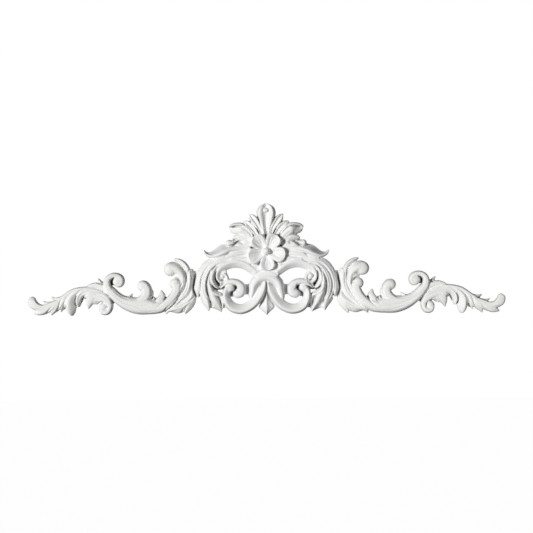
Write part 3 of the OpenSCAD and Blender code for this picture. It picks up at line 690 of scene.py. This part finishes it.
def join_objects(parts, name):
    """The parts' meshes in one object."""
    joined = bmesh.new()
    for part in parts:
        joined.from_mesh(part.data)
        bpy.data.objects.remove(part)
    mesh = bpy.data.meshes.new(name)
    joined.to_mesh(mesh)
    joined.free()
    made = bpy.data.objects.new(name, mesh)
    bpy.context.scene.collection.objects.link(made)
    return made


def both_halves_tree():
    t = Tree("both_halves")
    other = t.add("GeometryNodeTransform", {"Geometry": t.given("Geometry"), "Scale": (-1, 1, 1)})
    return t.finish(t.join(t.given("Geometry"), t.add("GeometryNodeFlipFaces", {"Mesh": other})))


def melt(clay):
    """One closed skin round everything that overlaps."""
    remesh = clay.modifiers.new("melt", "REMESH")
    remesh.mode, remesh.voxel_size = "VOXEL", VOXEL
    made = baked(clay, "skin")
    print("melted to", len(made.data.polygons), "faces")
    return made


# %% [markdown]
# ## Flutes
# The veins and grooves of a leaf are cuts of a narrow gouge along the leaf. Each cut is a path
# with a half width and a depth. The tree finds the nearest point of any cut for every point of
# the skin and pushes the skin back by the cut's depth, fading to nothing at its half width.
# Carving moves the skin's own points, so the casting stays one closed mesh.

# %% Flutes
CUT_STEP = 0.0006          # metres between two marks of a cut
LEAST_THICKNESS = 0.003    # metres that a cut leaves standing
SOFTENING = 6              # passes that blunt the gouge's edges, as a mould does


def flute_tree():
    t = Tree("flutes", Cuts="Object", Step="Float", Least_thickness="Float", Softening="Int")
    cuts = t.add("GeometryNodeObjectInfo", {"Object": t.given("Cuts")}).outputs["Geometry"]
    path = t.add("GeometryNodeMeshToCurve", {"Mesh": cuts})
    path = t.add("GeometryNodeCurveSplineType", {"Curve": path}, spline_type="CATMULL_ROM")
    path = t.add("GeometryNodeResampleCurve", {"Curve": path, "Length": t.given("Step")}, mode="LENGTH")
    marks = t.add("GeometryNodeCurveToPoints", {"Curve": path}, mode="EVALUATED").outputs["Points"]
    here = t.add("GeometryNodeInputPosition")
    parts = t.add("ShaderNodeSeparateXYZ", {0: here})
    flat = t.add("ShaderNodeCombineXYZ", {"X": parts.outputs["X"], "Y": 0.0, "Z": parts.outputs["Z"]})
    nearest = t.add("GeometryNodeSampleNearest", {"Geometry": marks, "Sample Position": flat}, domain="POINT")

    def read(value, data_type):
        return t.add("GeometryNodeSampleIndex", {"Geometry": marks, "Value": value, "Index": nearest},
                     data_type=data_type, domain="POINT")

    away = t.vector("DISTANCE", flat, read(here, "FLOAT_VECTOR")).outputs["Value"]
    half_width, depth = read(t.named("cut_width"), "FLOAT"), read(t.named("cut_depth"), "FLOAT")
    fade = t.add("ShaderNodeMapRange",
                 {"Value": away, "From Min": 0.0, "From Max": half_width, "To Min": depth, "To Max": 0.0},
                 interpolation_type="SMOOTHSTEP")
    room = t.math("SUBTRACT", t.math("MULTIPLY", parts.outputs["Y"], -1.0), t.given("Least thickness"))
    push = t.math("MINIMUM", fade, t.math("MAXIMUM", room, 0.0))
    cut = t.add("GeometryNodeSetPosition", {"Geometry": t.given("Geometry"),
                                            "Offset": t.add("ShaderNodeCombineXYZ", {"Y": push})})
    soft = t.add("GeometryNodeBlurAttribute", {"Value": here, "Iterations": t.given("Softening")},
                 data_type="FLOAT_VECTOR")
    return t.finish(t.add("GeometryNodeSetPosition", {"Geometry": cut, "Position": soft}))


def carve(skin):
    """The skin with every flute cut into it and a hair of softening over all."""
    paths = [rows for rows in flutes]
    paths += [rows * [-1, 1, 1, 1] for rows in flutes]
    paths += own_flutes
    table = np.concatenate(paths)
    sizes = {"cut_width": table[:, 2] * HALF_SCALE, "cut_depth": table[:, 3] * SCALE[1]}
    cuts = paths_object("cuts", paths, sizes)
    made = run(flute_tree(), skin, "carved", Cuts=cuts, Step=CUT_STEP, Least_thickness=LEAST_THICKNESS,
               Softening=SOFTENING)
    bpy.data.objects.remove(cuts)
    print("carved", len(flutes), "flutes on each half")
    return made


# %% [markdown]
# ## A flat back and a lighter mesh
# The mould is filled level with its rim, so the back is one plane. A box cuts the skin off there.
# The skin has many more faces than its broad planes need, so a collapse keeps the edges and
# flutes and thins the rest, and edges sharper than a set angle stay crisp when it is shaded.

# %% Back and thinning
MOST_TRIANGLES = 190000
CREASE = math.radians(78)


def flat_back(skin):
    box = mesh_object("behind", [(x, y, z) for x in (-1, 1) for y in (0, 1) for z in (-1, 1)], (),
                      [(0, 1, 3, 2), (4, 6, 7, 5), (0, 4, 5, 1), (2, 3, 7, 6), (0, 2, 6, 4), (1, 5, 7, 3)])
    cut = skin.modifiers.new("back", "BOOLEAN")
    cut.operation, cut.solver, cut.object = "DIFFERENCE", "MANIFOLD", box
    made = baked(skin, "trimmed")
    bpy.data.objects.remove(box)
    return made


def lighten(skin):
    tris = sum(len(p.vertices) - 2 for p in skin.data.polygons)
    thin = skin.modifiers.new("thin", "DECIMATE")
    thin.ratio = min(1.0, MOST_TRIANGLES / tris)
    made = baked(skin, NODE + "_carved")
    print("thinned from", tris, "to", sum(len(p.vertices) - 2 for p in made.data.polygons), "triangles")
    return made


# %% [markdown]
# ## The flower
# Five cupped petals lie round a button. One petal is a single sweep, and a tree sets its copies
# on a ring, which is how a sculptor repeats one pressed petal.

# %% Flower
FLOWER_CENTRE = (0.5, 20.0)
PETALS = 5
FLOWER_TURN = math.radians(-39.5)
PETAL = [[0, 5, 6, 25], [0, 12, 12, 27], [0, 20, 17, 30.5], [0, 28, 20.5, 34], [0, 36, 21, 37], [0, 42, 18,
         38], [0, 46, 11.5, 37], [0, 48.3, 3, 34]]
PETAL_FLUTES = [
    [[-2.5, 14, 1.5, 1.5], [-5.5, 23, 2.3, 3.4], [-8.5, 31, 2.3, 3], [-10, 38, 1, 0.5]],
    [[-0.5, 13, 1.5, 1.5], [-1, 23, 2.2, 3.2], [-1.5, 32, 2.2, 2.6], [-2, 39, 1, 0.5]],
    [[1.5, 14, 1.5, 1.5], [3.5, 23, 2.3, 3.2], [6, 31, 2.2, 2.6], [7.5, 38, 1, 0.5]],
]
PETAL_GAP = [[0, 16, 1, 0.5], [0, 25, 1.8, 3], [0, 33, 2.2, 6.5], [0, 39, 2.2, 6.5], [0, 43, 1.5, 2]]


def ring_tree():
    """Copies of a petal that points up, turned evenly round the ring's centre."""
    t = Tree("petal_ring", Count="Int", Centre="Vector", Turn="Float")
    points = t.add("GeometryNodeMeshLine", {"Count": t.given("Count"), "Offset": (0, 0, 0)})
    step = t.math("DIVIDE", math.tau, t.given("Count"))
    angle = t.math("ADD", t.math("MULTIPLY", t.add("GeometryNodeInputIndex"), step), t.given("Turn"))
    copies = t.add("GeometryNodeInstanceOnPoints",
                   {"Points": points, "Instance": t.given("Geometry"),
                    "Rotation": t.add("ShaderNodeCombineXYZ", {"Y": angle})})
    placed = t.add("GeometryNodeTransform", {"Geometry": copies, "Translation": t.given("Centre")})
    return t.finish(t.add("GeometryNodeRealizeInstances", {"Geometry": placed}))


def flower_object():
    petal = np.array(PETAL, float)
    width = np.maximum(petal[:, 2], LEAST_HALF_WIDTH) * HALF_SCALE
    fill = np.clip((np.linspace(0, 1, len(petal)) - FILL_START) / FILL_LENGTH, 0, 1)
    source = paths_object("petal_path", [petal], {"reach_left": width, "reach_right": width,
                                                  "height": petal[:, 3] * SCALE[1], "fill": fill})
    one = run(sweep_tree("petal"), source, "petal", Step=STEP_ALONG, Points_across=POINTS_ACROSS, Foot=FOOT)
    centre = (FLOWER_CENTRE[0] * SCALE[0], 0.0, FLOWER_CENTRE[1] * SCALE[2])
    made = run(ring_tree(), one, "flower", Count=PETALS, Centre=centre, Turn=FLOWER_TURN)
    print("flower of", PETALS, "petals,", len(made.data.polygons), "faces")
    return made


def flower_flutes(rows, turn):
    """One cut of the petal, repeated round the flower."""
    for k in range(PETALS):
        angle = turn + k * math.tau / PETALS
        right, up = (math.cos(angle), -math.sin(angle)), (math.sin(angle), math.cos(angle))
        own_flutes.append(np.array([[FLOWER_CENTRE[0] + x * right[0] + r * up[0],
                                     FLOWER_CENTRE[1] + x * right[1] + r * up[1], width, depth]
                                    for x, r, width, depth in rows]))


for rows in PETAL_FLUTES:
    flower_flutes(rows, FLOWER_TURN)
flower_flutes(PETAL_GAP, FLOWER_TURN + math.pi / PETALS)
eye(FLOWER_CENTRE[0], FLOWER_CENTRE[1], 20, 41)


# %% Assembly
sweeps = [sweep(section) for section in SECTIONS if strokes[section]]
halves = join_objects(sweeps + [eyes_object()], "right_half")
clay = join_objects([run(both_halves_tree(), halves, "halves"), flower_object()], "clay")
ornament = lighten(flat_back(carve(melt(clay))))


# %% [markdown]
# ## Where shade is painted and where edges rub
# A primed casting is never one even white. The undercuts are painted a dark grey, which is painted
# shade standing in for the shadow that falls there, and the high edges are rubbed a little brighter
# and smoother. Two masks are measured on the mesh itself, so they fit the carving however it is
# changed. `closed_in` counts the short rays from a point that strike the casting again, the nearer
# the more, and `high_edge` tells how far a point stands out from its neighbours.

# %% Survey of the surface
RAYS = 24
RAY_REACH = 0.028          # metres
RAY_LIFT = 0.0002          # metres that a ray starts off the skin
EDGE_SIZE = 0.0004         # metres that a full edge stands out


def ray_offsets(count):
    """Directions spread evenly over a ball."""
    out = []
    for i in range(count):
        up = 1 - 2 * (i + 0.5) / count
        turn = i * math.pi * (3 - math.sqrt(5))
        out.append((math.cos(turn) * math.sqrt(1 - up * up), math.sin(turn) * math.sqrt(1 - up * up), up))
    return out


def survey_tree():
    t = Tree("survey", Reach="Float", Lift="Float", Edge_size="Float")
    skin = t.given("Geometry")
    here, normal = t.add("GeometryNodeInputPosition"), t.add("GeometryNodeInputNormal")
    start = t.vector("ADD", here, t.add("ShaderNodeVectorMath", {0: normal, "Scale": t.given("Lift")},
                                        operation="SCALE"))
    total = 0.0
    for offset in ray_offsets(RAYS):
        ray = t.add("GeometryNodeRaycast", {"Target Geometry": skin, "Source Position": start,
                                            "Ray Direction": t.vector("ADD", normal, offset),
                                            "Ray Length": t.given("Reach")})
        near = t.math("SUBTRACT", 1.0, t.math("DIVIDE", ray.outputs["Hit Distance"], t.given("Reach")))
        total = t.math("MULTIPLY_ADD", ray.outputs["Is Hit"], near, total)
    closed = t.add("GeometryNodeBlurAttribute", {"Value": t.math("DIVIDE", total, RAYS), "Iterations": 3},
                   data_type="FLOAT")
    around = t.add("GeometryNodeBlurAttribute", {"Value": here, "Iterations": 4}, data_type="FLOAT_VECTOR")
    stands = t.vector("DOT_PRODUCT", t.vector("SUBTRACT", here, around), normal).outputs["Value"]
    high = t.add("ShaderNodeMapRange", {"Value": stands, "From Min": 0.0, "From Max": t.given("Edge size")})
    marked = t.store(skin, "closed_in", closed)
    return t.finish(t.store(marked, "high_edge", high))


ornament = run(survey_tree(), ornament, NODE + "_carved", Reach=RAY_REACH, Lift=RAY_LIFT,
               Edge_size=EDGE_SIZE)


# %% [markdown]
# ## The finish
# The casting is primed white and matt. Four shader groups hold the effects: the grain that the
# mould leaves, painted shade in the undercuts that stands in for the shadow there, the rubbed
# edges and the uneven primer. Each puts out a mask, a value or a normal, and the material mixes
# them into one Principled shader.

# %% Shader groups
PIT_DEPTH, WAVE_DEPTH = 0.00012, 0.0006


class Effect(Tree):
    """A shader group with named inputs and one output."""

    def __init__(self, name, output, kind, **inputs):
        self.group = bpy.data.node_groups.new(name, "ShaderNodeTree")
        for title, (socket, value) in inputs.items():
            made = self.group.interface.new_socket(title.replace("_", " "), in_out="INPUT",
                                                   socket_type="NodeSocket" + socket)
            made.default_value = value
        self.group.interface.new_socket(output, in_out="OUTPUT", socket_type="NodeSocket" + kind)
        self.output = output
        self.source = self.group.nodes.new("NodeGroupInput")
        self.sink = self.group.nodes.new("NodeGroupOutput")

    def finish(self, value):
        self.feed(self.sink.inputs[self.output], value)
        return self.group

    def noise(self, scale, detail=3.0):
        where = self.add("ShaderNodeTexCoord").outputs["Object"]
        node = self.add("ShaderNodeTexNoise", {"Vector": where, "Scale": scale, "Detail": detail})
        return node.outputs["Fac"]


def mould_grain():
    """Fine pits and slow waves of a cast surface, as a bumped normal."""
    t = Effect("mould_grain", "Normal", "Vector", Grain_scale=("Float", 700.0), Wave_scale=("Float", 60.0),
               Strength=("Float", 0.2))
    pits = t.math("MULTIPLY", t.noise(t.given("Grain scale")), PIT_DEPTH)
    waves = t.math("MULTIPLY", t.noise(t.given("Wave scale"), 2.0), WAVE_DEPTH)
    height = t.math("ADD", pits, waves)
    bump = t.add("ShaderNodeBump", {"Height": height, "Strength": t.given("Strength"), "Distance": 1.0})
    return t.finish(bump)


def recess_painted_shade():
    """How much painted shade darkens a point: the closed-in places, broken up by noise."""
    t = Effect("recess_painted_shade", "Mask", "Float", Start=("Float", 0.3), Full=("Float", 0.7),
               Falloff=("Float", 1.3), Patchiness=("Float", 0.2))
    closed = t.add("ShaderNodeAttribute", attribute_name="closed_in").outputs["Fac"]
    depth = t.add("ShaderNodeMapRange",
                  {"Value": closed, "From Min": t.given("Start"), "From Max": t.given("Full")})
    broken = t.math("SUBTRACT", 1.0, t.math("MULTIPLY", t.noise(90.0, 4.0), t.given("Patchiness")))
    return t.finish(t.math("MULTIPLY", t.math("POWER", depth, t.given("Falloff")), broken))


def edge_wear():
    """How rubbed a point is: the high edges, broken up by noise."""
    t = Effect("edge_wear", "Mask", "Float", Amount=("Float", 0.6))
    high = t.add("ShaderNodeAttribute", attribute_name="high_edge").outputs["Fac"]
    patches = t.add("ShaderNodeMapRange", {"Value": t.noise(45.0, 4.0), "From Min": 0.35, "From Max": 0.65})
    return t.finish(t.math("MULTIPLY", t.math("MULTIPLY", high, patches), t.given("Amount")))


def primer_unevenness():
    """Slow and fine differences in how thickly the primer lies, about zero."""
    t = Effect("primer_unevenness", "Value", "Float", Amount=("Float", 1.0))
    slow = t.math("SUBTRACT", t.noise(9.0, 2.0), 0.5)
    fine = t.math("MULTIPLY", t.math("SUBTRACT", t.noise(140.0, 3.0), 0.5), 0.6)
    return t.finish(t.math("MULTIPLY", t.math("ADD", slow, fine), t.given("Amount")))


# %% Material
CLEAN = (0.87, 0.87, 0.865, 1)
THIN_PRIMER = (0.83, 0.828, 0.82, 1)
RUBBED = (0.9, 0.9, 0.897, 1)
# painted shade: the dark grey that the undercuts are painted in place of their shadow
PAINTED_SHADE_GREY = (0.12, 0.118, 0.115, 1)
UNEVENNESS = 0.35          # how far the primer's value swings either way
THIN_ROUGHNESS, THICK_ROUGHNESS = 0.78, 0.66
RUB_GLOSS = 0.12           # roughness that a fully rubbed edge loses
SPECULAR_LEVEL = 0.12      # a chalky primer hardly shines


def colour_mix(made, factor, first, second):
    """A node that mixes two colours; each is a constant or another node's output."""
    node = made.node_tree.nodes.new("ShaderNodeMix")
    node.data_type = "RGBA"
    for index, value in ((0, factor), (6, first), (7, second)):
        if isinstance(value, bpy.types.NodeSocket):
            made.node_tree.links.new(value, node.inputs[index])
        else:
            node.inputs[index].default_value = value
    return node.outputs[2]


def effect_node(made, group, **values):
    node = made.node_tree.nodes.new("ShaderNodeGroup")
    node.node_tree = group
    for title, value in values.items():
        node.inputs[title.replace("_", " ")].default_value = value
    return node.outputs[0]


def moulding_material():
    made = bpy.data.materials.new("primed_white_moulding")
    made.use_nodes = True
    nodes, links = made.node_tree.nodes, made.node_tree.links
    shader = nodes["Principled BSDF"]
    shader.inputs["Specular IOR Level"].default_value = SPECULAR_LEVEL
    primer = effect_node(made, primer_unevenness())
    painted_shade_mask = effect_node(made, recess_painted_shade())
    wear = effect_node(made, edge_wear())

    thickness = nodes.new("ShaderNodeMapRange")
    thickness.inputs["From Min"].default_value = -UNEVENNESS
    thickness.inputs["From Max"].default_value = UNEVENNESS
    links.new(primer, thickness.inputs["Value"])
    colour = colour_mix(made, thickness.outputs["Result"], THIN_PRIMER, CLEAN)
    colour = colour_mix(made, wear, colour, RUBBED)
    # painted shade: the closed-in places are darkened towards dark grey to stand in for their shadow
    colour = colour_mix(made, painted_shade_mask, colour, PAINTED_SHADE_GREY)
    links.new(colour, shader.inputs["Base Color"])

    rough = nodes.new("ShaderNodeMapRange")
    rough.inputs["From Min"].default_value = -UNEVENNESS
    rough.inputs["From Max"].default_value = UNEVENNESS
    rough.inputs["To Min"].default_value = THIN_ROUGHNESS
    rough.inputs["To Max"].default_value = THICK_ROUGHNESS
    links.new(primer, rough.inputs["Value"])
    smoother = nodes.new("ShaderNodeMath")
    smoother.operation, smoother.inputs[1].default_value = "MULTIPLY_ADD", -RUB_GLOSS
    links.new(wear, smoother.inputs[0])
    links.new(rough.outputs["Result"], smoother.inputs[2])
    links.new(smoother.outputs[0], shader.inputs["Roughness"])
    links.new(effect_node(made, mould_grain()), shader.inputs["Normal"])
    return made


ornament.data.materials.clear()
ornament.data.materials.append(moulding_material())
ornament.data.shade_smooth()
ornament.data.set_sharp_from_angle(angle=CREASE)
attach(ornament, "root")
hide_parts(NODE)


# %% [markdown]
# ## Stage, light and camera
# The ornament is shown from straight ahead, as it is seen over a door, in front of plain white.
# One soft sun from the left gives relief its form: the sides towards it are bright and the other
# sides fall into shade. A ring of lamps would be more even, but it would flatten the carving, so
# the world only adds a weak fill. The world and the floor look white to the camera and to
# reflections through Light Path, and not by more light on the ornament.

# %% Stage
FLOOR_Z = -0.75
FLOOR_HALF_SIDE = 6.0
FLOOR_GLOW_SHARE = 0.985             # the rest is lit floor, so that a shadow on it still shows
WORLD_FILL = 0.1
KEY_TOWARDS = (-0.58, -0.81, 0.05)
KEY_SOFTNESS = 3                     # degrees that the sun is wide
KEY_STRENGTH = 2.97
CAMERA_DISTANCE, CAMERA_Z = 5.0, -0.018
CAMERA_ROLL = math.radians(0.4)
VIEW_WIDTH = 1.34                    # metres across at the ornament
SENSOR_WIDTH = 36.0


def floor_object():
    signs = ((-1, -1), (1, -1), (1, 1), (-1, 1))
    corners = [(x * FLOOR_HALF_SIDE, y * FLOOR_HALF_SIDE, FLOOR_Z) for x, y in signs]
    floor = mesh_object("floor", corners, (), [(0, 1, 2, 3)])
    material = bpy.data.materials.new("pale_floor")
    material.use_nodes = True
    nodes, links = material.node_tree.nodes, material.node_tree.links
    shader = nodes["Principled BSDF"]
    shader.inputs["Base Color"].default_value = (0.9, 0.9, 0.9, 1)
    shader.inputs["Roughness"].default_value = 0.9
    glow = nodes.new("ShaderNodeEmission")
    glow.inputs["Color"].default_value = (1, 1, 1, 1)
    glow.inputs["Strength"].default_value = 1.0
    ray = nodes.new("ShaderNodeLightPath")
    mix = nodes.new("ShaderNodeMixShader")
    share = nodes.new("ShaderNodeMath")
    share.operation = "MULTIPLY"
    share.inputs[1].default_value = FLOOR_GLOW_SHARE
    links.new(ray.outputs["Is Camera Ray"], share.inputs[0])
    links.new(share.outputs[0], mix.inputs[0])
    links.new(shader.outputs[0], mix.inputs[1])
    links.new(glow.outputs[0], mix.inputs[2])
    links.new(mix.outputs[0], nodes["Material Output"].inputs["Surface"])
    floor.data.materials.append(material)


def sun_light(name, towards, angle, strength):
    """A sun that shines from the given direction, seen from the ornament; the angle is in degrees."""
    data = bpy.data.lights.new(name, "SUN")
    data.angle, data.energy = math.radians(angle), strength
    made = bpy.data.objects.new(name, data)
    bpy.context.scene.collection.objects.link(made)
    made.location = towards
    made.rotation_euler = mathutils.Vector(towards).to_track_quat("Z", "Y").to_euler()


def world_light(strength):
    world = bpy.data.worlds.new("studio")
    bpy.context.scene.world = world
    world.use_nodes = True
    nodes, links = world.node_tree.nodes, world.node_tree.links
    shade = nodes["Background"]
    shade.inputs["Color"].default_value = (1, 1, 1, 1)
    shade.inputs["Strength"].default_value = strength
    white = nodes.new("ShaderNodeBackground")
    white.inputs["Color"].default_value = (1, 1, 1, 1)
    white.inputs["Strength"].default_value = 1.0
    ray = nodes.new("ShaderNodeLightPath")
    seen = ray.outputs["Is Camera Ray"]
    for other in ("Is Glossy Ray", "Is Transmission Ray"):
        either = nodes.new("ShaderNodeMath")
        either.operation = "MAXIMUM"
        links.new(seen, either.inputs[0])
        links.new(ray.outputs[other], either.inputs[1])
        seen = either.outputs[0]
    mix = nodes.new("ShaderNodeMixShader")
    links.new(seen, mix.inputs[0])
    links.new(shade.outputs[0], mix.inputs[1])
    links.new(white.outputs[0], mix.inputs[2])
    links.new(mix.outputs[0], nodes["World Output"].inputs["Surface"])


def add_camera():
    data = bpy.data.cameras.new("camera")
    camera = bpy.data.objects.new("camera", data)
    bpy.context.scene.collection.objects.link(camera)
    data.sensor_width = SENSOR_WIDTH
    data.lens = SENSOR_WIDTH * CAMERA_DISTANCE / VIEW_WIDTH
    data.clip_end = 100
    camera.location = (0, -CAMERA_DISTANCE, CAMERA_Z)
    camera.rotation_euler = (math.radians(90), CAMERA_ROLL, 0)
    bpy.context.scene.camera = camera


floor_object()
world_light(WORLD_FILL)
sun_light("key", KEY_TOWARDS, KEY_SOFTNESS, KEY_STRENGTH)
add_camera()
bpy.context.scene.view_settings.view_transform = "Standard"
